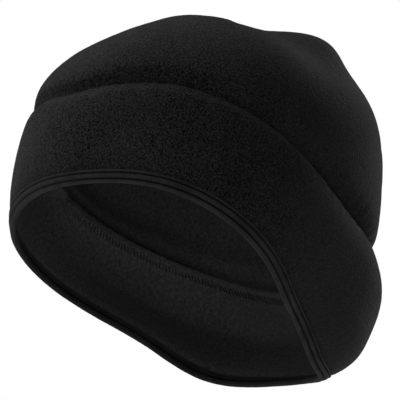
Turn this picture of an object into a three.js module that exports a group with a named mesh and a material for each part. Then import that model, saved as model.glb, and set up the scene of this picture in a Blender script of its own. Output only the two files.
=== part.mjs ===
// Fleece winter cap with a wide ear band and a bound rim, in the shape it takes on a head.
// Units are millimetres. +Z is up, -Y is the brow and +X is the wearer's left. The origin is the inside of the
// crown's top, where the head meets it.
import * as THREE from "three";

// Walls of the cloth, and the clearance between pieces
const fleeceWall = 2.6;
const pressedWall = 1.6;
const tapeWall = 1.1;
const clearance = 0.3;

// The crown's top, and the inside of it, above the rim at the brow
const topHeight = 105.5;
const seatHeight = topHeight - fleeceWall;

// Forms round the head, with one column for each station, in degrees from the brow to the nape. Reach is measured
// out from the vertical axis and height up from the rim at the brow. The left and right halves are alike. The
// belly is how far the band swells between rim and seam, how full it is at its two ends, and how low it sits.
const stations = { brow: 0, browSide: 30, temple: 60, ear: 90, behindEar: 120, backSide: 150, nape: 180 };
const form = {
  rimReach:    { brow: 83, browSide: 85, temple: 92, ear: 73, behindEar: 65, backSide: 76, nape: 92 },
  rimHeight:   { brow: 0, browSide: -3, temple: -22, ear: -51, behindEar: -70, backSide: -88, nape: -89 },
  bellyOut:    { brow: 7, browSide: 6.5, temple: 5, ear: 9, behindEar: 15, backSide: 21, nape: 18 },
  fullness:    { brow: 2.6, browSide: 2.8, temple: 2.6, ear: 2.5, behindEar: 2.8, backSide: 3.3, nape: 3.3 },
  lowness:     { brow: 0, browSide: 0, temple: 0, ear: 0.1, behindEar: 0.3, backSide: 0.5, nape: 0.45 },
  seamReach:   { brow: 81, browSide: 80, temple: 88, ear: 96, behindEar: 97, backSide: 104, nape: 98 },
  seamHeight:  { brow: 50, browSide: 51, temple: 41, ear: 13, behindEar: -11, backSide: -29, nape: -39 },
  crownReach:  { brow: 80, browSide: 78.5, temple: 85, ear: 98, behindEar: 107, backSide: 110, nape: 103 },
  crownHeight: { brow: 55, browSide: 58, temple: 50, ear: 32, behindEar: 26, backSide: 24, nape: 17 },
  roundness:   { brow: 1.38, browSide: 1.45, temple: 1.65, ear: 1.85, behindEar: 1.9, backSide: 2.4, nape: 2.5 },
};

// The sewn seam between crown and band: how far each cloth tucks in beside it, and over what length, how near the
// seam both turn to one direction, and the crown's seam allowance, which is turned down inside the band
const crownTuck = { depth: 3.5, length: 5 };
const bandTuck = { depth: 2, length: 3 };
const seamGap = 0.8;
const allowance = { length: 4, wall: 1.2, gap: 0.5 };
const seamTurn = 7;
const besideSeam = 0.2;

// Dents and folds of the crown. Level runs from 0 at the seam to 1 at the top, depth is outwards if positive, and
// half sizes are in degrees and in levels. All of them fade out between foldsFade and the very top.
const folds = [
  { name: "back corner", angle: 138, level: 0.68, depth: 8.5, halfAngle: 26, halfLevel: 0.1 },
  { name: "dent above the corner", angle: 130, level: 0.83, depth: -5, halfAngle: 40, halfLevel: 0.08 },
  { name: "dent below the corner", angle: 136, level: 0.54, depth: -2, halfAngle: 22, halfLevel: 0.07 },
  { name: "top step", angle: 105, level: 0.87, depth: -3, halfAngle: 24, halfLevel: 0.05 },
  { name: "ridge down the back", angle: 152, level: 0.26, depth: 4, halfAngle: 8, halfLevel: 0.16 },
  { name: "valley beside the ridge", angle: 140, level: 0.27, depth: -2, halfAngle: 7, halfLevel: 0.14 },
];
const foldsFade = 0.9;
const widestLevel = 0.25;
const crownCentre = new THREE.Vector3(0, 0, -60);

// The binding: a tape folded over the band's edge. Outwards is measured from the band's outer face.
const tapeRise = 7.5;
const tapeProud = 0.6;
const tapeCorner = 0.3;
const bandEdgeRise = 2.1;
const pressedBlend = 5;

// How finely the cloth is divided, and the small steps over which directions and lengths are measured on a face
const aroundSteps = 72;
const crownSteps = 16;
const bandSteps = 8;
const lipSteps = 6;
const normalStep = 0.004;
const rimStep = 0.02;

const rad = THREE.MathUtils.degToRad;
const { lerp, smoothstep } = THREE.MathUtils;
const columns = Object.keys(stations);

// A smooth even curve through the station values of one row: a short cosine series, worked out once.
function stationCurve(row) {
  const last = columns.length - 1;
  const weights = columns.map((_, k) => {
    const sum = columns.reduce((total, name, i) => {
      const share = i === 0 || i === last ? 0.5 : 1;
      return total + share * row[name] * Math.cos(k * rad(stations[name]));
    }, 0);
    return (k === 0 || k === last ? 1 : 2) * sum / last;
  });
  return (angle) => weights.reduce((total, weight, k) => total + weight * Math.cos(k * angle), 0);
}
const at = Object.fromEntries(Object.entries(form).map(([name, row]) => [name, stationCurve(row)]));

// The point at a reach and a height in the direction of an angle from the brow.
function place(angle, reach, height) {
  return new THREE.Vector3(reach * Math.sin(angle), -reach * Math.cos(angle), height - seatHeight);
}

// How far a cloth tucks in at a distance from the seam.
function tuckAt(tuck, distance) {
  return tuck.depth * Math.exp(-((distance / tuck.length) ** 2));
}

// The sum of the folds at a point of the crown. They fade out at the very top.
function foldDepth(angle, level) {
  const fade = 1 - smoothstep(level, foldsFade, 1);
  return fade * folds.reduce((total, fold) => {
    const away = angle - rad(fold.angle);
    const across = Math.atan2(Math.sin(away), Math.cos(away)) / rad(fold.halfAngle);
    const along = (level - fold.level) / fold.halfLevel;
    return total + fold.depth * Math.exp(-across * across - along * along);
  }, 0);
}

// The outer face of the crown, from the seam at level 0 to the top at level 1.
function crownFace(angle, level) {
  const seam = { reach: at.seamReach(angle), height: at.seamHeight(angle) + seamGap };
  const widest = { reach: at.crownReach(angle), height: at.crownHeight(angle) };
  let reach;
  let height;
  if (level < widestLevel) {
    const turn = (level / widestLevel) * Math.PI / 2;
    reach = lerp(seam.reach, widest.reach, Math.sin(turn));
    height = lerp(widest.height, seam.height, Math.cos(turn));
  } else {
    const turn = (level - widestLevel) / (1 - widestLevel) * Math.PI / 2;
    const power = 2 / at.roundness(angle);
    reach = widest.reach * Math.max(Math.cos(turn), 0) ** power;
    height = lerp(widest.height, topHeight, Math.sin(turn) ** power);
  }
  reach -= tuckAt(crownTuck, Math.hypot(reach - seam.reach, height - seam.height));
  const point = place(angle, reach, height);
  const outwards = point.clone().sub(crownCentre).normalize();
  return point.addScaledVector(outwards, foldDepth(angle, level));
}

// The outer face of the band, from the rim at level 0 to the seam at level 1.
function bandFace(angle, level) {
  const lowered = level + at.lowness(angle) * level * (1 - level);
  const belly = at.bellyOut(angle) * (1 - Math.abs(1 - 2 * lowered) ** at.fullness(angle));
  const reach = lerp(at.rimReach(angle), at.seamReach(angle), level) + belly;
  const height = lerp(at.rimHeight(angle), at.seamHeight(angle), level);
  const tuck = tuckAt(bandTuck, (1 - level) * bandLength(angle));
  return place(angle, reach - tuck, height);
}

// The band's length from rim to seam at an angle.
function bandLength(angle) {
  return Math.hypot(at.seamReach(angle) - at.rimReach(angle), at.seamHeight(angle) - at.rimHeight(angle));
}

// The band's level where the crown's seam allowance ends.
function allowanceEnd(angle) {
  return 1 - allowance.length / bandLength(angle);
}

// The band's level at a distance from the rim, measured square to the rim where that slopes.
function bandLevel(angle, distance) {
  const along = bandFace(angle + rimStep, 0).sub(bandFace(angle - rimStep, 0)).normalize();
  const upwards = bandFace(angle, rimStep).sub(bandFace(angle, 0)).divideScalar(rimStep);
  return distance / along.cross(upwards).length();
}

// The direction out of a face, square to the cloth.
function squareTo(face, angle, level) {
  const low = Math.max(level - normalStep, 0);
  const high = Math.min(level + normalStep, 1);
  const around = face(angle + normalStep, level).sub(face(angle - normalStep, level));
  const upwards = face(angle, high).sub(face(angle, low));
  return around.cross(upwards).normalize();
}

// A point of a face moved outwards. Beside the seam both cloths move in the one direction midway between theirs,
// so that their edges lie side by side.
function offFace(face, angle, level, outwards) {
  const point = face(angle, level);
  const seam = place(angle, at.seamReach(angle), at.seamHeight(angle));
  const share = Math.exp(-((point.distanceTo(seam) / seamTurn) ** 2));
  const bandSide = squareTo(bandFace, angle, 1 - besideSeam);
  const midway = bandSide.add(squareTo(crownFace, angle, besideSeam)).normalize();
  const direction = squareTo(face, angle, level).lerp(midway, share).normalize();
  return point.addScaledVector(direction, outwards);
}

function range(count, from, to) {
  return Array.from({ length: count + 1 }, (_, i) => lerp(from, to, i / count));
}

// A closed body from one section at each angle round the head. A section closes on itself, or where toAxis is
// true its two ends lie on the axis and are shared by all. Each four-sided face is split along its shorter
// diagonal.
function sweepRound(sectionAt, toAxis) {
  const sections = range(aroundSteps, 0, 2 * Math.PI).slice(0, -1).map(sectionAt);
  const count = sections[0].length;
  const positions = [];
  const faces = [];
  const index = sections.map((section, s) => section.map((point, p) => {
    const shared = toAxis && (p === 0 || p === count - 1);
    if (shared && s > 0) return null;
    positions.push(point.x, point.y, point.z);
    return positions.length / 3 - 1;
  }));
  const vertex = (s, p) => index[s % sections.length][p] ?? index[0][p];
  const spot = (i) => new THREE.Vector3().fromArray(positions, 3 * i);
  for (let s = 0; s < sections.length; s += 1) {
    for (let p = 0; p < (toAxis ? count - 1 : count); p += 1) {
      const [a, b] = [vertex(s, p), vertex(s, (p + 1) % count)];
      const [c, d] = [vertex(s + 1, (p + 1) % count), vertex(s + 1, p)];
      const across = spot(a).distanceTo(spot(c));
      const other = spot(b).distanceTo(spot(d));
      if (a === d || (b !== c && across < other)) {
        faces.push(a, b, c);
        if (a !== d) faces.push(a, c, d);
      } else {
        faces.push(a, b, d);
        if (b !== c) faces.push(b, c, d);
      }
    }
  }
  const geometry = new THREE.BufferGeometry();
  geometry.setAttribute("position", new THREE.Float32BufferAttribute(positions, 3));
  geometry.setIndex(faces);
  geometry.computeVertexNormals();
  return geometry;
}

// The crown: a dome open below, one wall thick. Its seam allowance is turned down inside the band.
function crownSection(angle) {
  const levels = range(crownSteps, 0, 1);
  const outer = levels.map((level) => crownFace(angle, level));
  const inner = levels.slice(0, -1).map((level) => offFace(crownFace, angle, level, -fleeceWall));
  const insideBand = -fleeceWall - allowance.gap;
  const end = allowanceEnd(angle);
  const flapTop = offFace(bandFace, angle, 1, insideBand);
  const flapEnd = offFace(bandFace, angle, end, insideBand);
  const upwards = flapTop.clone().sub(flapEnd).normalize();
  const flap = [
    flapTop.addScaledVector(upwards, seamGap),
    flapEnd,
    offFace(bandFace, angle, end, insideBand - allowance.wall),
  ];
  return [...outer.reverse(), ...flap, ...inner, new THREE.Vector3(0, 0, 0)];
}

// The band: pressed thin inside the binding, and full above it.
function bandSection(angle) {
  const edge = bandLevel(angle, bandEdgeRise);
  const tapeTop = bandLevel(angle, tapeRise + clearance);
  const full = bandLevel(angle, tapeRise + pressedBlend);
  const levels = [edge, tapeTop, ...range(bandSteps, full, allowanceEnd(angle)), 1];
  const pressedFace = tapeProud - tapeWall - clearance;
  const share = (level) => smoothstep(level, tapeTop, full);
  const outer = levels.map((level) => {
    return offFace(bandFace, angle, level, lerp(pressedFace, 0, share(level)));
  });
  const inner = levels.map((level) => {
    return offFace(bandFace, angle, level, lerp(pressedFace - pressedWall, -fleeceWall, share(level)));
  });
  return [...outer.reverse(), ...inner];
}

// The binding: a tape folded over the band's edge, round at the lip.
function tapeSection(angle) {
  const outside = tapeProud;
  const slotOutside = tapeProud - tapeWall;
  const slotInside = slotOutside - pressedWall - 2 * clearance;
  const inside = slotInside - tapeWall;
  const middle = (outside + inside) / 2;
  const lip = (outside - inside) / 2;
  const slotRise = bandEdgeRise - clearance;
  const lipTurns = range(lipSteps, 0, Math.PI);
  const outline = [
    [slotOutside, tapeRise],
    [outside - tapeCorner, tapeRise],
    [outside, tapeRise - tapeCorner],
    ...lipTurns.map((turn) => [middle + lip * Math.cos(turn), lip * (1 - Math.sin(turn))]),
    [inside, tapeRise - tapeCorner],
    [inside + tapeCorner, tapeRise],
    [slotInside, tapeRise],
    [slotInside, slotRise],
    [slotOutside, slotRise],
  ];
  return outline.map(([outwards, rise]) => offFace(bandFace, angle, bandLevel(angle, rise), outwards));
}

function fleece(color) {
  return new THREE.MeshStandardMaterial({ color, roughness: 0.95, metalness: 0 });
}

function piece(name, geometry, material) {
  const mesh = new THREE.Mesh(geometry, material);
  mesh.name = name;
  return mesh;
}

const cap = new THREE.Group();
cap.add(
  piece("crown", sweepRound(crownSection, true), fleece("#17171a")),
  piece("ear_band", sweepRound(bandSection, false), fleece("#19191c")),
  piece("edge_binding", sweepRound(tapeSection, false), fleece("#222226")),
);
export default cap;
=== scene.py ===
"""A black fleece winter cap with a deep ear band and a bound rim, in the shape that it takes on a head."""

import logging
from dataclasses import dataclass, field
from enum import Enum
from math import cos, pi, radians, sin
from typing import Callable, Sequence

import bmesh
import bpy
import numpy as np
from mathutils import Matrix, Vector, noise


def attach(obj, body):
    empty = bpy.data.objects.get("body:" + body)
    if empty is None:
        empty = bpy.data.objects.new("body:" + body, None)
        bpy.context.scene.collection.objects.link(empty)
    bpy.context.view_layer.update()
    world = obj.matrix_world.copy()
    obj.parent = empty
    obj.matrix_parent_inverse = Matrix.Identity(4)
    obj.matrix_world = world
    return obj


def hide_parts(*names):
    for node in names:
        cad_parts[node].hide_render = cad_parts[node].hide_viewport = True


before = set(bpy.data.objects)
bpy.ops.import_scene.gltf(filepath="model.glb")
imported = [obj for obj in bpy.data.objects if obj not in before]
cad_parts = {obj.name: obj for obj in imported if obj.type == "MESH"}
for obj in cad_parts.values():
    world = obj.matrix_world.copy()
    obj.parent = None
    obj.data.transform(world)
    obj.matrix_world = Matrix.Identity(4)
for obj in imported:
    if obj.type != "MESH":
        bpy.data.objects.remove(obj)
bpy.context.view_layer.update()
LOG = logging.getLogger("winter_cap")
MM = 0.001
BODY = "root"
SHEEN_TINT = (0.86, 0.87, 0.88, 1)

# How finely lines on the cloth are measured
TURN_SAMPLES = 1441
ROW_SAMPLES = 721
RISE_SAMPLES = 401
SECTIONS = 8

Face = Callable[[np.ndarray, np.ndarray], np.ndarray]


class Slot(Enum):
    """The record's material slots."""

    FLEECE = "fleece"
    BINDING = "binding"
    THREAD = "thread"


class Side(Enum):
    """The two faces of a cloth wall."""

    OUTSIDE = 0
    INSIDE = 1


@dataclass(frozen=True)
class Fold:
    """One soft dent or fold of the crown, outwards if its depth is positive."""

    angle: float
    level: float
    depth: float
    half_angle: float
    half_level: float


@dataclass(frozen=True)
class CapForm:
    """The form of the worn cap in millimetres, with one value for each station from the brow to the nape."""

    stations: tuple = (0, 30, 60, 90, 120, 150, 180)
    rim_reach: tuple = (83, 85, 92, 73, 65, 76, 92)
    rim_height: tuple = (0, -3, -22, -51, -70, -88, -89)
    belly_out: tuple = (6.5, 5.6, 4.2, 9, 15, 21, 18)
    fullness: tuple = (2.6, 2.8, 2.6, 2.5, 2.8, 3.3, 3.3)
    lowness: tuple = (0, 0, 0, 0.1, 0.3, 0.5, 0.45)
    seam_reach: tuple = (81, 80, 88, 96, 97, 104, 98)
    seam_height: tuple = (50, 51, 41, 13, -11, -29, -39)
    crown_reach: tuple = (80, 78.5, 85, 98, 107, 110, 103)
    crown_height: tuple = (55, 58, 50, 32, 26, 24, 17)
    roundness: tuple = (1.42, 1.5, 1.67, 1.85, 1.93, 2.4, 2.5)
    top_height: float = 105.5
    fleece_wall: float = 2.6
    widest_level: float = 0.25
    folds_fade: float = 0.9
    apex_radius: float = 13.0
    rounding: tuple = (0.8, 0.4)
    crown_tuck: tuple = (4.3, 5.5)
    band_tuck: tuple = (2.0, 3.0)
    seam_gap: float = 0.8
    seam_turn: float = 7.0
    beside_seam: float = 0.2
    puckers: tuple = ((41, 0.16, 1.0), (67, 0.18, 2.1), (89, 0.14, 0.4), (113, 0.1, 4.0))
    pucker_reach: float = 8.0
    slack_angle: float = 228.0
    slack_reach: float = 80.0
    slack_levels: tuple = (0.1, 0.55)
    slack_share: float = 0.9
    slack_drop: float = 1.3
    fold_centre: tuple = (0.0, 0.0, -60.0)
    folds: tuple = (
        Fold(138, 0.68, 8.5, 26, 0.1),
        Fold(130, 0.83, -4.4, 38, 0.08),
        Fold(136, 0.54, -0.2, 22, 0.07),
        Fold(105, 0.87, -3.0, 24, 0.05),
        Fold(152, 0.28, 6.5, 8, 0.13),
        Fold(140, 0.27, -2.0, 7, 0.14),
    )

    @property
    def seat_height(self) -> float:
        """The height of the inside of the crown's top above the rim at the brow."""
        return self.top_height - self.fleece_wall

    def curve(self, row: Sequence[float], angle: np.ndarray) -> np.ndarray:
        """A smooth even curve through the station values of one row.

        Args:
            row: the values at the stations.
            angle: angles from the brow, in radians.

        Returns:
            The value at each angle.
        """
        order = np.arange(len(self.stations))
        weights = np.linalg.solve(np.cos(np.outer(np.radians(self.stations), order)), np.array(row, float))
        return np.cos(np.multiply.outer(angle, order)) @ weights

    def place(self, angle: np.ndarray, reach: np.ndarray, height: np.ndarray) -> np.ndarray:
        """Points at a reach and a height in the direction of an angle.

        Args:
            angle: angles from the brow, in radians.
            reach: distances from the vertical axis.
            height: heights above the rim at the brow.

        Returns:
            The points, with the last axis x, y and z.
        """
        return np.stack([reach * np.sin(angle), -reach * np.cos(angle), height - self.seat_height], -1)

    def fold_depth(self, angle: np.ndarray, level: np.ndarray) -> np.ndarray:
        """The sum of the folds.

        Args:
            angle: angles from the brow, in radians.
            level: 0 at the seam to 1 at the top.

        Returns:
            How far the crown stands out at each point.
        """
        total = np.zeros(np.broadcast(angle, level).shape)
        for fold in self.folds:
            away = angle - radians(fold.angle)
            across = np.arctan2(np.sin(away), np.cos(away)) / radians(fold.half_angle)
            along = (level - fold.level) / fold.half_level
            total += fold.depth * np.exp(-(across**2) - along**2)
        return total * (1 - ease(np.clip((level - self.folds_fade) / (1 - self.folds_fade), 0, 1)))

    def crown_face(self, angle: np.ndarray, level: np.ndarray) -> np.ndarray:
        """The outer face of the crown.

        Args:
            angle: angles from the brow, in radians.
            level: 0 at the seam to 1 at the top.

        Returns:
            The points of the face.
        """
        seam_reach = self.curve(self.seam_reach, angle)
        seam_height = self.curve(self.seam_height, angle) + self.seam_gap
        widest = self.curve(self.crown_reach, angle)
        widest_height = self.curve(self.crown_height, angle)
        power = self.curve(self.roundness, angle)
        low_turn = np.clip(level / self.widest_level, 0, 1) * pi / 2
        high_turn = np.clip((level - self.widest_level) / (1 - self.widest_level), 0, 1) * pi / 2
        share = np.maximum(np.cos(high_turn), 0) ** (2 / power)
        dome = self.top_height - widest_height
        apex = self.apex_radius / widest
        eased = np.minimum(np.sqrt(share**2 + apex**2), 1)
        drop = dome * (1 - np.maximum(1 - eased**power, 0) ** (1 / power))
        apex_drop = dome * (1 - (1 - apex**power) ** (1 / power))
        high = self.top_height - drop + apex_drop * np.exp(-((share / (2 * apex)) ** 2))
        sharp = widest_height + dome * np.sin(high_turn) ** (2 / power)
        begins, width = self.rounding
        high = sharp + (high - sharp) * ease(np.clip((begins - share) / width, 0, 1))
        low = widest_height + (seam_height - widest_height) * np.cos(low_turn)
        is_low = level < self.widest_level
        reach = np.where(is_low, seam_reach + (widest - seam_reach) * np.sin(low_turn), widest * share)
        height = np.where(is_low, low, high)
        depth, length = self.crown_tuck
        near = np.hypot(reach - seam_reach, height - seam_height) / length
        point = self.place(angle, reach - depth * np.exp(-(near**2)), height)
        outwards = point - np.array(self.fold_centre)
        outwards /= np.linalg.norm(outwards, axis=-1)[..., None]
        return point + outwards * self.fold_depth(angle, level)[..., None]

    def band_length(self, angle: np.ndarray) -> np.ndarray:
        """The straight length of the band from rim to seam.

        Args:
            angle: angles from the brow, in radians.

        Returns:
            The length at each angle.
        """
        across = self.curve(self.seam_reach, angle) - self.curve(self.rim_reach, angle)
        rise = self.curve(self.seam_height, angle) - self.curve(self.rim_height, angle)
        return np.hypot(across, rise)

    def slack(self, angle: np.ndarray) -> np.ndarray:
        """How far the band's roll is let out at each angle, from 0 to 1.

        Args:
            angle: angles from the brow, in radians.

        Returns:
            The share of the roll that is let out.
        """
        away = angle - radians(self.slack_angle)
        away = np.abs(np.arctan2(np.sin(away), np.cos(away)))
        return ease(np.clip(1 - away / radians(self.slack_reach), 0, 1))

    def band_face(self, angle: np.ndarray, level: np.ndarray) -> np.ndarray:
        """The outer face of the band.

        Args:
            angle: angles from the brow, in radians.
            level: 0 at the rim to 1 at the seam.

        Returns:
            The points of the face.
        """
        lowered = level + self.curve(self.lowness, angle) * level * (1 - level)
        full = 1 - np.abs(1 - 2 * lowered) ** self.curve(self.fullness, angle)
        start, end = self.slack_levels
        let_out = self.slack_share * self.slack(angle)
        full = full * (1 - let_out * ease(np.clip((end - level) / (end - start), 0, 1)))
        rim, seam = self.curve(self.rim_reach, angle), self.curve(self.seam_reach, angle)
        seam_height = self.curve(self.seam_height, angle)
        rim_height = self.curve(self.rim_height, angle) - self.slack_drop * self.slack(angle)
        depth, length = self.band_tuck
        tuck = depth * np.exp(-(((1 - level) * self.band_length(angle) / length) ** 2))
        reach = rim + (seam - rim) * level + self.curve(self.belly_out, angle) * full - tuck
        return self.place(angle, reach, rim_height + (seam_height - rim_height) * level)

    def band_level(self, angle: np.ndarray, distance: np.ndarray) -> np.ndarray:
        """The band's level at a distance from the rim, measured square to the rim.

        Args:
            angle: angles from the brow, in radians.
            distance: distances from the rim in millimetres.

        Returns:
            The levels.
        """
        step = 0.02
        zero = np.zeros_like(angle)
        along = self.band_face(angle + step, zero) - self.band_face(angle - step, zero)
        along /= np.linalg.norm(along, axis=-1)[..., None]
        upwards = (self.band_face(angle, zero + step) - self.band_face(angle, zero)) / step
        return distance / np.linalg.norm(np.cross(along, upwards), axis=-1)

    def square_to(self, face: Face, angle: np.ndarray, level: np.ndarray) -> np.ndarray:
        """The direction out of a face at each point.

        Args:
            face: crown_face or band_face.
            angle: angles from the brow, in radians.
            level: levels on that face.

        Returns:
            Unit vectors square to the cloth.
        """
        step = 0.004
        low, high = np.maximum(level - step, 0), np.minimum(level + step, 1 - 1e-4)
        below_top = np.minimum(level, 1 - 1e-3)
        around = face(angle + step, below_top) - face(angle - step, below_top)
        square = np.cross(around, face(angle, high) - face(angle, np.minimum(low, high - step / 2)))
        return square / np.maximum(np.linalg.norm(square, axis=-1), 1e-12)[..., None]

    def pucker(self, angle: np.ndarray, away: np.ndarray) -> np.ndarray:
        """How the cloth puckers where the seam draws it in.

        Args:
            angle: angles from the brow, in radians.
            away: distances from the seam.

        Returns:
            How far out the cloth stands.
        """
        waves = sum(high * np.sin(count * angle + start) for count, high, start in self.puckers)
        return waves * np.exp(-((away / self.pucker_reach) ** 2))

    def off_face(self, face: Face, angle: np.ndarray, level: np.ndarray, outwards: np.ndarray) -> np.ndarray:
        """Points moved off a face. Beside the seam both cloths move in one direction.

        Args:
            face: crown_face or band_face.
            angle: angles from the brow, in radians.
            level: levels on that face.
            outwards: how far each point moves.

        Returns:
            The moved points.
        """
        angle, level, outwards = np.broadcast_arrays(angle, level, outwards)
        point = face(angle, level)
        seam = self.place(angle, self.curve(self.seam_reach, angle), self.curve(self.seam_height, angle))
        away = np.linalg.norm(point - seam, axis=-1)
        share = np.exp(-((away / self.seam_turn) ** 2))[..., None]
        beside = np.full(angle.shape, self.beside_seam)
        midway = self.square_to(self.band_face, angle, 1 - beside)
        midway = midway + self.square_to(self.crown_face, angle, beside)
        midway /= np.linalg.norm(midway, axis=-1)[..., None]
        direction = self.square_to(face, angle, level) * (1 - share) + midway * share
        direction /= np.linalg.norm(direction, axis=-1)[..., None]
        return point + direction * (outwards + self.pucker(angle, away))[..., None]


def ease(share: np.ndarray) -> np.ndarray:
    """A share from 0 to 1 that starts and ends gently."""
    return share * share * (3 - 2 * share)


def length_along(points: np.ndarray) -> np.ndarray:
    """The length of a line of points up to each of them."""
    return np.concatenate([[0], np.cumsum(np.linalg.norm(np.diff(points, axis=0), axis=1))])


def even_angles(face: Face, level: float, count: int) -> np.ndarray:
    """Angles that lie evenly along a line of constant level.

    Args:
        face: crown_face or band_face.
        level: the line's level.
        count: how many steps go round.

    Returns:
        count + 1 angles, the last one a full turn past the first.
    """
    fine = np.linspace(0, 2 * pi, TURN_SAMPLES)
    length = length_along(face(fine, np.full(fine.shape, level)))
    return np.interp(np.linspace(0, length[-1], count + 1), length, fine)


def even_levels(face: Face, low: float, high: float, count: int) -> np.ndarray:
    """Levels that lie evenly up a face, on the mean of several sections.

    Args:
        face: crown_face or band_face.
        low: the first level.
        high: the last level.
        count: how many steps.

    Returns:
        count + 1 levels.
    """
    fine = np.linspace(low, high, RISE_SAMPLES)
    angles = np.linspace(0, 2 * pi, SECTIONS, endpoint=False)
    points = face(angles[:, None], fine[None])
    step = np.linalg.norm(np.diff(points, axis=1), axis=-1).mean(0)
    length = np.concatenate([[0], np.cumsum(step)])
    return np.interp(np.linspace(0, length[-1], count + 1), length, fine)


def new_mesh() -> bmesh.types.BMesh:
    """Starts a mesh.

    Returns:
        An empty mesh with room for the UV map.
    """
    bm = bmesh.new()
    bm.loops.layers.uv.new("UVMap")
    return bm


def add_cloth(bm: bmesh.types.BMesh, points: np.ndarray, side: Side) -> None:
    """Adds a grid whose points are laid on a cloth face, with its own place in the UV map.

    Args:
        bm: the mesh that grows.
        points: rows by columns by 3, in millimetres.
        side: the material index of the new faces.
    """
    rows, columns = points.shape[:2]
    made = bmesh.ops.create_grid(bm, x_segments=columns - 1, y_segments=rows - 1, size=0.5, calc_uvs=True)
    flat = points.reshape(-1, 3) * MM
    faces = set()
    for vert in made["verts"]:
        column = round((vert.co.x + 0.5) * (columns - 1))
        row = round((vert.co.y + 0.5) * (rows - 1))
        vert.co = Vector(flat[row * columns + column])
        faces.update(vert.link_faces)
    for face in faces:
        face.material_index = side.value
        face.smooth = True


def close_up(bm: bmesh.types.BMesh) -> None:
    """Merges the edges that meet and turns all faces outwards.

    Args:
        bm: the mesh, which becomes one closed skin.
    """
    bmesh.ops.remove_doubles(bm, verts=bm.verts, dist=0.01 * MM)
    bmesh.ops.dissolve_degenerate(bm, edges=bm.edges, dist=0.001 * MM)
    bmesh.ops.recalc_face_normals(bm, faces=bm.faces)
    bm.normal_update()


@dataclass(frozen=True)
class Relief:
    """How a cloth's surface departs from a smooth one, in millimetres."""

    lump: float
    lump_inside: float
    grain: float
    wave: float
    wave_length: float
    finer: float = 2.1
    finer_share: float = 0.5
    finer_shift: tuple = (7.0, 3.0, 1.0)

    def raise_on(self, bm: bmesh.types.BMesh) -> None:
        """Raises soft lumps and long waves on a closed mesh.

        Args:
            bm: the mesh, with material indices that tell its sides.
        """
        moves = []
        for vert in bm.verts:
            inside = all(face.material_index == Side.INSIDE.value for face in vert.link_faces)
            spot = vert.co / (self.grain * MM)
            finer = noise.noise(spot * self.finer + Vector(self.finer_shift))
            lumps = noise.noise(spot) + self.finer_share * finer
            waves = noise.noise(vert.co / (self.wave_length * MM))
            high = (self.lump_inside if inside else self.lump) * lumps + self.wave * waves
            moves.append(vert.normal * (high * MM))
        for vert, move in zip(bm.verts, moves):
            vert.co += move


def to_object(bm: bmesh.types.BMesh, name: str, materials: Sequence[bpy.types.Material]) -> bpy.types.Object:
    """Makes an object at the origin from a bmesh.

    Args:
        bm: the finished mesh, which is freed.
        name: the piece's name.
        materials: its materials in order of index.

    Returns:
        The new object.
    """
    mesh = bpy.data.meshes.new(name)
    bm.to_mesh(mesh)
    bm.free()
    for material in materials:
        mesh.materials.append(material)
    piece = bpy.data.objects.new(name, mesh)
    bpy.context.scene.collection.objects.link(piece)
    return piece


def seat(piece: bpy.types.Object, slot: Slot, *nodes: str) -> bpy.types.Object:
    """Lets a piece ride on the cap's body and hides the nodes it stands for.

    Args:
        piece: the finished object.
        slot: the record's material slot; not used.
        nodes: the CAD nodes that it replaces.

    Returns:
        The same object.
    """
    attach(piece, BODY)
    if nodes:
        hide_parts(*nodes)
    count = sum(len(face.vertices) - 2 for face in piece.data.polygons)
    LOG.info("%s: %d triangles", piece.name, count)
    return piece


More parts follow.
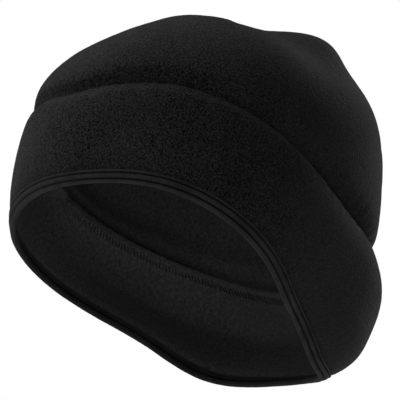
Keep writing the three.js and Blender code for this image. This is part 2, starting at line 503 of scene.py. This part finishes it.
class Shader:
    """A small helper that builds one node material on a Principled shader."""

    def __init__(self, name: str) -> None:
        """Starts an empty material of that name."""
        self.material = bpy.data.materials.new(name)
        self.material.use_nodes = True
        self.tree = self.material.node_tree
        self.main = self.tree.nodes["Principled BSDF"]

    def add(self, kind: str, links: dict | None = None, **settings: object) -> bpy.types.Node:
        """Adds a node.

        Args:
            kind: the node's type name.
            links: input name or number to an output socket or a plain value.
            settings: attributes set on the node.

        Returns:
            The new node.
        """
        node = self.tree.nodes.new(kind)
        for key, value in settings.items():
            setattr(node, key, value)
        for key, value in (links or {}).items():
            if isinstance(value, bpy.types.NodeSocket):
                self.tree.links.new(value, node.inputs[key])
            else:
                node.inputs[key].default_value = value
        return node

    def math(self, operation: str, first: object, second: object) -> bpy.types.NodeSocket:
        """The result of a Math node on two sockets or numbers."""
        return self.add("ShaderNodeMath", {0: first, 1: second}, operation=operation).outputs[0]

    def apart(self, first: bpy.types.NodeSocket, second: float) -> bpy.types.NodeSocket:
        """How far a socket's value lies from a number."""
        return self.math("ABSOLUTE", self.math("SUBTRACT", first, second), 0.0)

    def grain(self, where: bpy.types.NodeSocket, size: float, detail: float) -> bpy.types.NodeSocket:
        """Soft noise whose lumps are size millimetres wide."""
        links = {"Vector": where, "Scale": 1 / (size * MM), "Detail": detail, "Roughness": 0.55}
        return self.add("ShaderNodeTexNoise", links).outputs[0]

    def ramp(self, factor: bpy.types.NodeSocket, low: float, high: float) -> bpy.types.NodeSocket:
        """A factor stretched so that low becomes 0 and high becomes 1."""
        links = {"Value": factor, "From Min": low, "From Max": high}
        return self.add("ShaderNodeMapRange", links).outputs[0]

    def colour(self, factor: bpy.types.NodeSocket, first: Sequence[float], second: Sequence[float]) -> None:
        """Gives the surface a colour between two others by a factor."""
        mix = self.add("ShaderNodeMix", {0: factor, 6: (*first, 1), 7: (*second, 1)}, data_type="RGBA")
        self.tree.links.new(mix.outputs[2], self.main.inputs["Base Color"])

    def rough(self, factor: bpy.types.NodeSocket, low: float, high: float) -> None:
        """Gives the surface a roughness between two values by a factor."""
        spread = self.add("ShaderNodeMapRange", {"Value": factor, "To Min": low, "To Max": high})
        self.tree.links.new(spread.outputs[0], self.main.inputs["Roughness"])

    def mixed(self, *parts: tuple[bpy.types.NodeSocket, float]) -> bpy.types.NodeSocket:
        """Adds up several sockets, each times its own weight.

        Args:
            parts: pairs of a socket and its weight.

        Returns:
            The sum.
        """
        total = self.math("MULTIPLY", *parts[0])
        for socket, weight in parts[1:]:
            total = self.math("ADD", total, self.math("MULTIPLY", socket, weight))
        return total

    def bump(self, height: bpy.types.NodeSocket, depth: float, strength: float) -> None:
        """Raises the surface by a height field, depth millimetres deep."""
        links = {"Height": height, "Distance": depth * MM, "Strength": strength}
        self.tree.links.new(self.add("ShaderNodeBump", links).outputs[0], self.main.inputs["Normal"])

    def plain(self, **values: object) -> None:
        """Sets constant values on the shader's own sockets, with underscores for spaces."""
        for key, value in values.items():
            self.main.inputs[key.replace("_", " ")].default_value = value


@dataclass(frozen=True)
class Fleece:
    """Black fleece: pebbled pile outside, or the smoother, flatter back of the cloth inside, which is given a
    much lighter colour as painted light.
    """

    name: str
    deep: tuple = (0.0003, 0.0003, 0.0003)
    light: tuple = (0.0325, 0.0328, 0.033)
    low: float = 0.36
    high: float = 0.66
    # Where the speckle starts and stops fading towards the back left, and how far it fades: painted shade for
    # the dimmer light on that side.
    dim_side_from: float = 15.0
    dim_side_to: float = 75.0
    dim_side_flattening: float = 0.5
    pebble: float = 0.9
    pill: float = 1.2
    fibre: float = 0.45
    patch: float = 26.0
    tone_weights: tuple = (0.7, 0.25, 0.12, -0.12)
    roughness: tuple = (0.88, 1.0)
    relief: float = 0.5
    relief_weights: tuple = (0.8, -0.7, 0.5)
    relief_strength: float = 0.9
    sheen: float = 0.07
    sheen_roughness: float = 0.35
    specular: float = 0.05

    def material(self) -> bpy.types.Material:
        """Builds the material.

        Returns:
            The fleece material.
        """
        shader = Shader(self.name)
        where = shader.add("ShaderNodeTexCoord").outputs["Object"]
        pebbles = shader.grain(where, self.pebble, 2)
        fibres = shader.grain(where, self.fibre, 3)
        patches = shader.grain(where, self.patch, 3)
        pills = shader.add("ShaderNodeTexVoronoi", {"Vector": where, "Scale": 1 / (self.pill * MM)},
                           feature="SMOOTH_F1").outputs["Distance"]
        tone = shader.mixed(*zip((pebbles, fibres, patches, pills), self.tone_weights))
        tone = shader.math("SUBTRACT", shader.ramp(tone, self.low, self.high), 0.5)
        # The speckle's contrast fades towards the back left: painted shade on the texture.
        flattened = shader.math("MULTIPLY", self.dim_side_fade(shader, where), -self.dim_side_flattening)
        tone = shader.math("MULTIPLY", tone, shader.math("ADD", flattened, 1.0))
        shader.colour(shader.math("ADD", tone, 0.5), self.deep, self.light)
        shader.rough(fibres, *self.roughness)
        height = shader.mixed(*zip((pebbles, pills, fibres), self.relief_weights))
        shader.bump(height, self.relief, self.relief_strength)
        shader.plain(Sheen_Weight=self.sheen, Sheen_Roughness=self.sheen_roughness,
                     Sheen_Tint=SHEEN_TINT, Specular_IOR_Level=self.specular)
        return shader.material

    def dim_side_fade(self, shader: Shader, where: bpy.types.NodeSocket) -> bpy.types.NodeSocket:
        """How far the speckle is flattened: full at the front and faded towards the back left, the side away
        from the main lights. This is painted shade on the texture, standing in for the dimmer light there,
        not a change in the pile.

        Args:
            shader: the material under way.
            where: the point in object coordinates.

        Returns:
            A factor from 0 to 1.
        """
        split = shader.add("ShaderNodeSeparateXYZ", {0: where}).outputs
        towards_dim_side = shader.mixed((split[0], 0.7), (split[1], 0.7))
        return shader.ramp(towards_dim_side, self.dim_side_from * MM, self.dim_side_to * MM)


@dataclass(frozen=True)
class KnitTape:
    """Smooth stretch knit: fine ribs that run round the rim, each a row of small loops."""

    name: str = "binding_tape"
    around: float = 560.0
    across: float = 18.0
    deep: tuple = (0.0012, 0.0012, 0.0012)
    light: tuple = (0.041, 0.0414, 0.0416)
    # Painted shade along the stitch rows: full up to the first distance from a row, gone past the second, in
    # millimetres.
    groove_shade_from: float = 0.1
    groove_shade_to: float = 0.7
    rib: float = 0.55
    loop: float = 0.7
    fuzz: float = 0.4
    patch: float = 14.0
    knit_weights: tuple = (0.3, 0.2)
    tone_weights: tuple = (0.5, 0.6, 0.4)
    tone_range: tuple = (0.25, 0.8)
    roughness: tuple = (0.7, 0.85)
    relief: float = 0.14
    relief_weights: tuple = (1.0, 0.5)
    relief_strength: float = 0.8
    sheen: float = 0.04
    sheen_roughness: float = 0.4
    specular: float = 0.08

    def material(self, rows: Sequence[float]) -> bpy.types.Material:
        """Builds the material.

        Args:
            rows: where the stitch rows lie across the section, as shares of its width; the tape is darkened
                along them as painted shade.

        Returns:
            The tape's material.
        """
        shader = Shader(self.name)
        place = shader.add("ShaderNodeTexCoord").outputs
        split = shader.add("ShaderNodeSeparateXYZ", {0: place["UV"]}).outputs
        ribs = shader.math("SINE", shader.math("MULTIPLY", split[1], 2 * pi * self.across / self.rib), 0.0)
        loops = shader.math("SINE", shader.math("MULTIPLY", split[0], 2 * pi * self.around / self.loop), 0.0)
        knit = shader.mixed(*zip((ribs, loops), self.knit_weights))
        fuzz = shader.grain(place["Object"], self.fuzz, 3)
        patches = shader.grain(place["Object"], self.patch, 3)
        tone = shader.mixed(*zip((knit, fuzz, patches), self.tone_weights))
        # The tape is darkened along each stitch row: painted shade for the grooves in which the stitches lie.
        nearest = shader.apart(split[1], rows[0])
        for row in rows[1:]:
            nearest = shader.math("MINIMUM", nearest, shader.apart(split[1], row))
        row_groove_shade = shader.ramp(shader.math("MULTIPLY", nearest, self.across), self.groove_shade_from, self.groove_shade_to)
        tone = shader.math("MULTIPLY", shader.ramp(tone, *self.tone_range), row_groove_shade)
        shader.colour(tone, self.deep, self.light)
        shader.rough(fuzz, *self.roughness)
        height = shader.mixed(*zip((knit, fuzz), self.relief_weights))
        shader.bump(height, self.relief, self.relief_strength)
        shader.plain(Sheen_Weight=self.sheen, Sheen_Roughness=self.sheen_roughness,
                     Sheen_Tint=SHEEN_TINT, Specular_IOR_Level=self.specular)
        return shader.material


@dataclass(frozen=True)
class Thread:
    """Twisted black sewing thread with a slight gloss."""

    name: str = "black_thread"
    colour: tuple = (0.006, 0.006, 0.0061)
    lighter: float = 2.2
    roughness: float = 0.55
    twist: float = 0.3
    relief: float = 0.06
    relief_strength: float = 0.6
    specular: float = 0.1

    def material(self) -> bpy.types.Material:
        """Builds the material.

        Returns:
            The thread's material.
        """
        shader = Shader(self.name)
        where = shader.add("ShaderNodeTexCoord").outputs["Object"]
        fibres = shader.grain(where, self.twist, 2)
        shader.colour(fibres, self.colour, tuple(self.lighter * part for part in self.colour))
        shader.bump(fibres, self.relief, self.relief_strength)
        shader.plain(Roughness=self.roughness, Specular_IOR_Level=self.specular)
        return shader.material


@dataclass
class Crown:
    """The fleece dome, one wall thick, with its seam allowance turned down inside the band."""

    columns: int = 384
    outer_rows: int = 130
    inner_rows: int = 70
    allowance: float = 3.4
    allowance_wall: float = 0.6
    allowance_gap: float = -0.3
    foot_sunk: float = 0.35
    foot_round: float = 0.35
    seam_bulk: float = 0.5
    lining_fill: float = 4.0
    lining_reach: float = 12.0
    step_at: float = 25.5
    step_height: float = 2.6
    step_before: float = 16.0
    step_after: float = 4.2
    step_reach: float = 36.0
    step_heading: float = 46.0
    step_drop: float = 45.0
    relief: Relief = Relief(lump=0.07, lump_inside=0.04, grain=4.5, wave=0.5, wave_length=34.0)
    form: CapForm = field(default_factory=CapForm)

    def build(self, outside: bpy.types.Material, inside: bpy.types.Material) -> bpy.types.Object:
        """Builds and dresses the crown.

        Args:
            outside: the pebbled fleece.
            inside: the back of the fleece, in a lighter copy of its colour that is painted light for the
                inside of the cap.

        Returns:
            The crown.
        """
        form = self.form
        angles = even_angles(form.crown_face, 0.0, self.columns)[None]
        levels = even_levels(form.crown_face, 0.0, 1.0, self.outer_rows)[:, None]
        outer = form.off_face(form.crown_face, angles + 0 * levels, levels + 0 * angles, 0 * levels * angles)
        outer[-1] = (0, 0, form.fleece_wall)
        outer[..., 2] += self.top_step(outer)
        low = even_levels(form.crown_face, 0.0, 1.0, self.inner_rows)[::-1][:, None]
        seam = form.place(angles, form.curve(form.seam_reach, angles), form.curve(form.seam_height, angles))
        lining = form.crown_face(angles + 0 * low, low + 0 * angles)
        away = np.linalg.norm(lining - seam, axis=-1) / self.lining_reach
        fill = self.lining_fill * away**2 * np.exp(1 - away**2)
        depth = -form.fleece_wall - fill - self.seam_bulk * np.exp(-((3 * away) ** 2))
        inner = form.off_face(form.crown_face, angles + 0 * low, low + 0 * angles, depth)
        inner[0] = (0, 0, 0)
        bm = new_mesh()
        add_cloth(bm, outer, Side.OUTSIDE)
        add_cloth(bm, np.concatenate([inner, self.flap(angles[0]), outer[:1]]), Side.INSIDE)
        close_up(bm)
        self.relief.raise_on(bm)
        return seat(to_object(bm, "fleece_crown", [outside, inside]), Slot.FLEECE, "crown")

    def top_step(self, points: np.ndarray) -> np.ndarray:
        """How far the cloth stands up where it doubles over beside the top.

        Args:
            points: points of the crown, in millimetres.

        Returns:
            The rise at each point.
        """
        heading = radians(self.step_heading)
        along = points[..., 0] * cos(heading) + points[..., 1] * sin(heading) - self.step_at
        across = points[..., 1] * cos(heading) - points[..., 0] * sin(heading)
        width = np.where(along < 0, self.step_before, self.step_after)
        near_top = np.clip(1 + points[..., 2] / self.step_drop, 0, 1)
        return self.step_height * np.exp(-((along / width) ** 2) - (across / self.step_reach) ** 2) * near_top

    def flap(self, angle: np.ndarray) -> np.ndarray:
        """The seam allowance, from its inner face's foot round to its top beside the seam.

        Args:
            angle: the columns' angles, in radians.

        Returns:
            Rows of points.
        """
        form = self.form
        end = 1 - self.allowance / form.band_length(angle)
        inside = -form.fleece_wall - self.allowance_gap
        top = form.off_face(form.band_face, angle, np.ones_like(angle), inside)
        foot = form.off_face(form.band_face, angle, end, inside + self.foot_sunk)
        back = form.off_face(form.band_face, angle, end, inside + self.foot_sunk - self.allowance_wall)
        upwards = (top - foot) / np.linalg.norm(top - foot, axis=-1)[..., None]
        middle = (foot + back) / 2 - upwards * self.foot_round * self.allowance_wall
        return np.stack([back, middle, foot, top + upwards * form.seam_gap])


@dataclass
class EarBand:
    """The deep fleece band: pressed thin inside the binding, full above it and rolled at its top."""

    columns: int = 384
    outer_rows: int = 64
    inner_rows: int = 40
    edge_rise: float = 2.1
    tape_rise: float = 8.0
    pressed_blend: float = 5.0
    pressed_face: float = -0.4
    pressed_wall: float = 1.3
    relief: Relief = Relief(lump=0.07, lump_inside=0.04, grain=4.5, wave=0.5, wave_length=34.0)
    form: CapForm = field(default_factory=CapForm)

    def build(self, outside: bpy.types.Material, inside: bpy.types.Material) -> bpy.types.Object:
        """Builds and dresses the band.

        Args:
            outside: the pebbled fleece.
            inside: the back of the fleece, in a lighter copy of its colour that is painted light for the
                inside of the cap.

        Returns:
            The ear band.
        """
        form = self.form
        angle = even_angles(form.band_face, 0.5, self.columns)
        outer = self.wall(angle, self.outer_rows, 0.0)
        inner = self.wall(angle, self.inner_rows, 1.0)[::-1]
        bm = new_mesh()
        add_cloth(bm, outer, Side.OUTSIDE)
        add_cloth(bm, np.concatenate([outer[-1:], inner, outer[:1]]), Side.INSIDE)
        close_up(bm)
        self.relief.raise_on(bm)
        return seat(to_object(bm, "fleece_ear_band", [outside, inside]), Slot.FLEECE, "ear_band")

    def wall(self, angle: np.ndarray, rows: int, depth: float) -> np.ndarray:
        """One face of the band's wall.

        Args:
            angle: the columns' angles, in radians.
            rows: how many steps go up the face.
            depth: 0 for the outer face and 1 for the inner one.

        Returns:
            Rows of points from the rim's edge up to the seam.
        """
        form = self.form
        edge = form.band_level(angle, self.edge_rise)
        tape = form.band_level(angle, self.tape_rise)
        full = form.band_level(angle, self.tape_rise + self.pressed_blend)
        share = even_levels(form.band_face, 0.0, 1.0, rows)[:, None]
        level = edge + (1 - edge) * share
        puff = ease(np.clip((level - tape) / (full - tape), 0, 1))
        wall = self.pressed_wall + (form.fleece_wall - self.pressed_wall) * puff
        outwards = self.pressed_face * (1 - puff) - depth * wall
        return form.off_face(form.band_face, angle + 0 * level, level, outwards)


@dataclass
class EdgeBinding:
    """A knit tape folded over the band's edge and held by two rows of stitches."""

    columns: int = 1100
    rise: float = 7.8
    proud: float = 0.5
    wall: float = 0.8
    slot_width: float = 1.4
    slot_rise: float = 1.8
    face_start: float = 2.0
    face_points: int = 19
    lip_depth: float = 1.8
    lip_start: float = 0.05
    lip_points: int = 15
    rows_at: tuple = (3.2, 6.5)
    groove: float = 0.7
    groove_width: float = 0.5
    pillow: float = 0.45
    corner: float = 0.35
    relief: Relief = Relief(lump=0.05, lump_inside=0.05, grain=1.6, wave=0.12, wave_length=9.0)
    form: CapForm = field(default_factory=CapForm)

    @property
    def inside(self) -> float:
        """How far out the tape's inner face lies."""
        return self.proud - 2 * self.wall - self.slot_width

    def outline(self) -> np.ndarray:
        """The tape's section as rows of outwards and rise, from the slot's outer top edge round to its start.

        Returns:
            The section's points, in millimetres.
        """
        rises = np.linspace(self.rise, self.face_start, self.face_points)
        soft = self.groove_depth(rises)
        corner = self.corner * np.exp(-((self.rise - rises) / self.corner) ** 2)
        outer = np.stack([self.proud + soft - corner, rises], -1)
        inner = np.stack([self.inside - soft + corner, rises], -1)[::-1]
        turn = np.linspace(0, pi, self.lip_points)[1:-1]
        middle, half = (self.proud + self.inside) / 2, (self.proud - self.inside) / 2
        lip_rise = self.lip_depth * (1 - np.sin(turn)) + self.lip_start
        lip = np.stack([middle + half * np.cos(turn), lip_rise], -1)
        slot_out, slot_in = self.proud - self.wall, self.inside + self.wall
        slot = np.array([(slot_in, self.rise), (slot_in, self.slot_rise), (slot_out, self.slot_rise),
                         (slot_out, self.rise)])
        return np.concatenate([outer, lip, inner, slot, outer[:1]])

    def row_shares(self) -> list[float]:
        """Where the stitch rows lie across the section.

        Returns:
            Shares of the grid's rows.
        """
        outline = self.outline()
        last = len(outline) - 1
        shares = []
        for rise in self.rows_at:
            for outside in (True, False):
                side = outline[:, 0] > 0 if outside else outline[:, 0] < self.inside + self.wall / 2
                away = np.where(side, np.abs(outline[:, 1] - rise), np.inf)
                shares.append(float(np.argmin(away)) / last)
        return shares

    def groove_depth(self, rises: np.ndarray) -> np.ndarray:
        """How far the tape stands out between its stitch rows, and dips at them.

        Args:
            rises: heights above the lip.

        Returns:
            The depths, in millimetres.
        """
        dips = sum(np.exp(-(((rises - row) / self.groove_width) ** 2)) for row in self.rows_at)
        swell = np.abs(np.sin(pi * (rises - self.rows_at[0]) / (self.rows_at[1] - self.rows_at[0])))
        return self.pillow * swell - self.groove * dips

    def build(self, tape: bpy.types.Material) -> bpy.types.Object:
        """Builds and dresses the binding.

        Args:
            tape: the knit tape's material.

        Returns:
            The binding.
        """
        form = self.form
        angle = even_angles(form.band_face, 0.0, self.columns)
        outline = self.outline()
        level = form.band_level(angle, outline[:, 1:2] + 0 * angle)
        points = form.off_face(form.band_face, angle + 0 * level, level, outline[:, 0:1] + 0 * level)
        bm = new_mesh()
        add_cloth(bm, points, Side.OUTSIDE)
        close_up(bm)
        self.relief.raise_on(bm)
        return seat(to_object(bm, "knit_edge_binding", [tape]), Slot.BINDING, "edge_binding")


@dataclass
class Stitching:
    """All the thread that shows: two rows on each face of the binding, and the ladder over the inner seam."""

    pitch: float = 2.1
    length: float = 1.6
    width: float = 0.42
    arch: float = 0.25
    sunk: float = 0.05
    arch_shape: tuple = (
        (0.0, 0.0, 0.55),
        (0.2, 0.75, 0.95),
        (0.5, 1.0, 1.0),
        (0.8, 0.75, 0.95),
        (1.0, 0.0, 0.55),
    )
    ladder_pitch: float = 2.2
    ladder_width: float = 0.5
    ladder_slip: float = 0.3
    slip_turns: tuple = (1.7, 0.23)
    ladder_lean: float = 0.35
    ladder_level: float = 0.95
    ladder_margin: float = 0.3
    form: CapForm = field(default_factory=CapForm)

    def threads(self, name: str, width: float) -> bpy.types.Object:
        """Starts an object of round threads.

        Args:
            name: the piece's name.
            width: the thread's diameter.

        Returns:
            An empty curve object.
        """
        curve = bpy.data.curves.new(name, "CURVE")
        curve.dimensions = "3D"
        curve.bevel_depth = width / 2 * MM
        curve.bevel_resolution = 1
        curve.use_fill_caps = True
        return bpy.data.objects.new(name, curve)

    def stitch(self, threads: bpy.types.Object, start: np.ndarray, end: np.ndarray, out: np.ndarray) -> None:
        """Adds one stitch, arched over the cloth and drawn in at both ends.

        Args:
            threads: the curve object that grows.
            start: where the thread comes up, in millimetres.
            end: where it goes down.
            out: the arch's direction and height.
        """
        spline = threads.data.splines.new("POLY")
        spline.points.add(len(self.arch_shape) - 1)
        for point, (share, rise, radius) in zip(spline.points, self.arch_shape):
            place = (start + (end - start) * share + out * rise) * MM
            point.co = (*place, 1)
            point.radius = radius

    def finish(self, threads: bpy.types.Object, thread: bpy.types.Material) -> bpy.types.Object:
        """Turns the threads into a finished mesh piece.

        Args:
            threads: the curve object, which is removed.
            thread: the thread's material.

        Returns:
            The piece.
        """
        bpy.context.scene.collection.objects.link(threads)
        shape = threads.evaluated_get(bpy.context.evaluated_depsgraph_get())
        bm = bmesh.new()
        bm.from_mesh(shape.to_mesh())
        shape.to_mesh_clear()
        bpy.data.objects.remove(threads)
        for face in bm.faces:
            face.smooth = True
            face.material_index = 0
        return seat(to_object(bm, shape.name, [thread]), Slot.THREAD)

    def row(self, threads: bpy.types.Object, rise: float, outwards: float, arch: float) -> None:
        """Adds one row of stitches round the binding.

        Args:
            threads: the curve object that grows.
            rise: its height above the lip.
            outwards: how far out its ends lie.
            arch: how far a stitch arches out, or in if it is negative.
        """
        form = self.form
        fine = np.linspace(0, 2 * pi, ROW_SAMPLES)
        line = form.off_face(form.band_face, fine, form.band_level(fine, rise + 0 * fine), outwards)
        length = length_along(line)
        count = round(length[-1] / self.pitch)
        starts = np.arange(count) * length[-1] / count
        ends = []
        for at in (starts, starts + self.length):
            angle = np.interp(at, length, fine)
            level = form.band_level(angle, rise + 0 * angle)
            ends.append(form.off_face(form.band_face, angle, level, outwards))
            arches = arch * form.square_to(form.band_face, angle, level)
        for start, end, out in zip(*ends, arches):
            self.stitch(threads, start, end, out)

    def ladder(self, threads: bpy.types.Object, crown: Crown) -> None:
        """Adds the ladder of thread that wraps the seam allowance inside.

        Args:
            threads: the curve object that grows.
            crown: the crown, for its allowance.
        """
        form = self.form
        fine = np.linspace(0, 2 * pi, ROW_SAMPLES)
        around = length_along(form.band_face(fine, self.ladder_level + 0 * fine))[-1]
        count = round(around / self.ladder_pitch)
        angles = even_angles(form.band_face, self.ladder_level, count)[:-1]
        step = angles[1] - angles[0]
        out = -form.fleece_wall - crown.allowance_gap - crown.allowance_wall - self.ladder_width / 4
        foot_out = out + crown.foot_sunk
        foot = 1 - (crown.allowance + self.ladder_margin) / form.band_length(angles)
        head = np.ones_like(angles)
        rung = np.arange(count)
        fast, slow = self.slip_turns
        slips = self.ladder_slip * np.sin(fast * rung) * np.sin(slow * rung)
        low = form.off_face(form.band_face, angles + slips * step, foot, foot_out)
        high = form.off_face(form.band_face, angles + (self.ladder_lean - slips) * step, head, out)
        inwards = -self.arch * form.square_to(form.band_face, angles, head)
        for start, top, arch in zip(low, high, inwards):
            self.stitch(threads, start, top, arch)

    def build(self, binding: EdgeBinding, crown: Crown, thread: bpy.types.Material) -> None:
        """Builds and dresses all the stitches.

        Args:
            binding: the tape that the rows lie on.
            crown: the crown, for its allowance.
            thread: the thread's material.
        """
        rows = self.threads("binding_stitches", self.width)
        for rise in binding.rows_at:
            depth = float(binding.groove_depth(np.array([rise]))[0])
            self.row(rows, rise, binding.proud + depth - self.sunk, self.arch)
            self.row(rows, rise, binding.inside - depth + self.sunk, -self.arch)
        self.finish(rows, thread)
        ladder = self.threads("seam_ladder_stitches", self.ladder_width)
        self.ladder(ladder, crown)
        self.finish(ladder, thread)


@dataclass(frozen=True)
class Softbox:
    """One large soft light, placed by its direction from the cap."""

    name: str
    azimuth: float
    elevation: float
    distance: float
    size: float
    power: float

    def build(self, aim: Vector) -> bpy.types.Object:
        """Builds the light.

        Args:
            aim: the point that it faces.

        Returns:
            The light.
        """
        light = bpy.data.lights.new(self.name, "AREA")
        light.shape = "DISK"
        light.size = self.size
        light.energy = self.power
        lamp = bpy.data.objects.new(self.name, light)
        lamp.visible_camera = False
        lamp.location = aim + direction(self.azimuth, self.elevation) * self.distance
        lamp.rotation_euler = (lamp.location - aim).to_track_quat("Z", "Y").to_euler()
        bpy.context.scene.collection.objects.link(lamp)
        return lamp


def direction(azimuth: float, elevation: float) -> Vector:
    """The unit vector towards a place.

    Args:
        azimuth: degrees round from the brow's side towards the wearer's left.
        elevation: degrees above the horizon.

    Returns:
        The direction.
    """
    turn, rise = radians(azimuth), radians(elevation)
    return Vector((sin(turn) * cos(rise), -cos(turn) * cos(rise), sin(rise)))


@dataclass
class Studio:
    """The camera at the photograph's angle, soft lights, a white surround and a pale floor."""

    azimuth: float = 46.0
    elevation: float = -10.5
    distance: float = 1.15
    aim_side: float = 0.011
    aim_height: float = -0.097
    view_width: float = 0.22
    sensor: float = 36.0
    floor_height: float = -1.5
    floor_size: float = 8.0
    floor_glow: float = 0.25
    floor_patch: float = 300.0
    floor_tones: tuple = ((0.82, 0.82, 0.81), (0.86, 0.86, 0.85))
    ambient: float = 0.12
    lights: tuple = (
        Softbox("front_softbox", 36, -5, 1.6, 1.1, 3.8),
        Softbox("low_right_softbox", 84, -30, 1.5, 1.1, 0.8),
        Softbox("front_left_softbox", -45, 12, 1.6, 1.0, 11.5),
        Softbox("top_softbox", -45, 66, 1.4, 1.0, 13),
        Softbox("back_right_softbox", 179, 8, 1.5, 0.8, 12.5),
    )

    def build(self) -> None:
        """Builds the camera, the lights, the surround and the floor."""
        towards = direction(self.azimuth, self.elevation)
        side = direction(self.azimuth + 90, 0)
        up = towards.cross(side)
        aim = side * self.aim_side + up * self.aim_height
        camera = bpy.data.cameras.new("camera")
        camera.sensor_width = self.sensor
        camera.lens = self.sensor * self.distance / self.view_width
        holder = bpy.data.objects.new("camera", camera)
        holder.location = aim + towards * self.distance
        holder.rotation_euler = towards.to_track_quat("Z", "Y").to_euler()
        bpy.context.scene.collection.objects.link(holder)
        bpy.context.scene.camera = holder
        for light in self.lights:
            light.build(aim)
        self.surround_light()
        self.floor()

    def surround_light(self) -> None:
        """Shows a white surround, which lights the cap only dimly and evenly."""
        world = bpy.data.worlds.new("white_surround")
        world.use_nodes = True
        background = world.node_tree.nodes["Background"]
        background.inputs["Color"].default_value = (1, 1, 1, 1)
        seen = world.node_tree.nodes.new("ShaderNodeLightPath").outputs["Is Camera Ray"]
        strength = world.node_tree.nodes.new("ShaderNodeMapRange")
        strength.inputs["To Min"].default_value = self.ambient
        world.node_tree.links.new(seen, strength.inputs["Value"])
        world.node_tree.links.new(strength.outputs[0], background.inputs["Strength"])
        bpy.context.scene.world = world
        bpy.context.scene.view_settings.view_transform = "Standard"

    def floor(self) -> None:
        """Lays the pale floor."""
        shader = Shader("pale_floor")
        where = shader.add("ShaderNodeTexCoord").outputs["Object"]
        shader.colour(shader.grain(where, self.floor_patch, 2), *self.floor_tones)
        shader.plain(Roughness=0.9, Emission_Color=(1, 1, 1, 1), Emission_Strength=self.floor_glow)
        bm = bmesh.new()
        bmesh.ops.create_grid(bm, x_segments=1, y_segments=1, size=self.floor_size / 2)
        bmesh.ops.translate(bm, verts=bm.verts, vec=(0, 0, self.floor_height))
        to_object(bm, "floor", [shader.material])


def main() -> None:
    """Builds the cap and its studio, and reports each piece."""
    logging.basicConfig(level=logging.INFO, format="%(message)s")
    Studio().build()
    outside = Fleece("pebbled_fleece").material()
    # The back of the cloth is smoother, and its colour is set several times lighter than the outside: painted
    # light that stands in for the light reaching the inside of the cap.
    flattened = Fleece("inside_fleece_painted_lighter", deep=(0.034, 0.0346, 0.0343), light=(0.084, 0.0857, 0.0849), low=0.34,
                     high=0.74, pebble=1.6, relief=0.2)
    inside = flattened.material()
    crown = Crown()
    crown.build(outside, inside)
    EarBand().build(outside, inside)
    binding = EdgeBinding()
    binding.build(KnitTape().material(binding.row_shares()))
    Stitching().build(binding, crown, Thread().material())


if __name__ == "__main__":
    main()
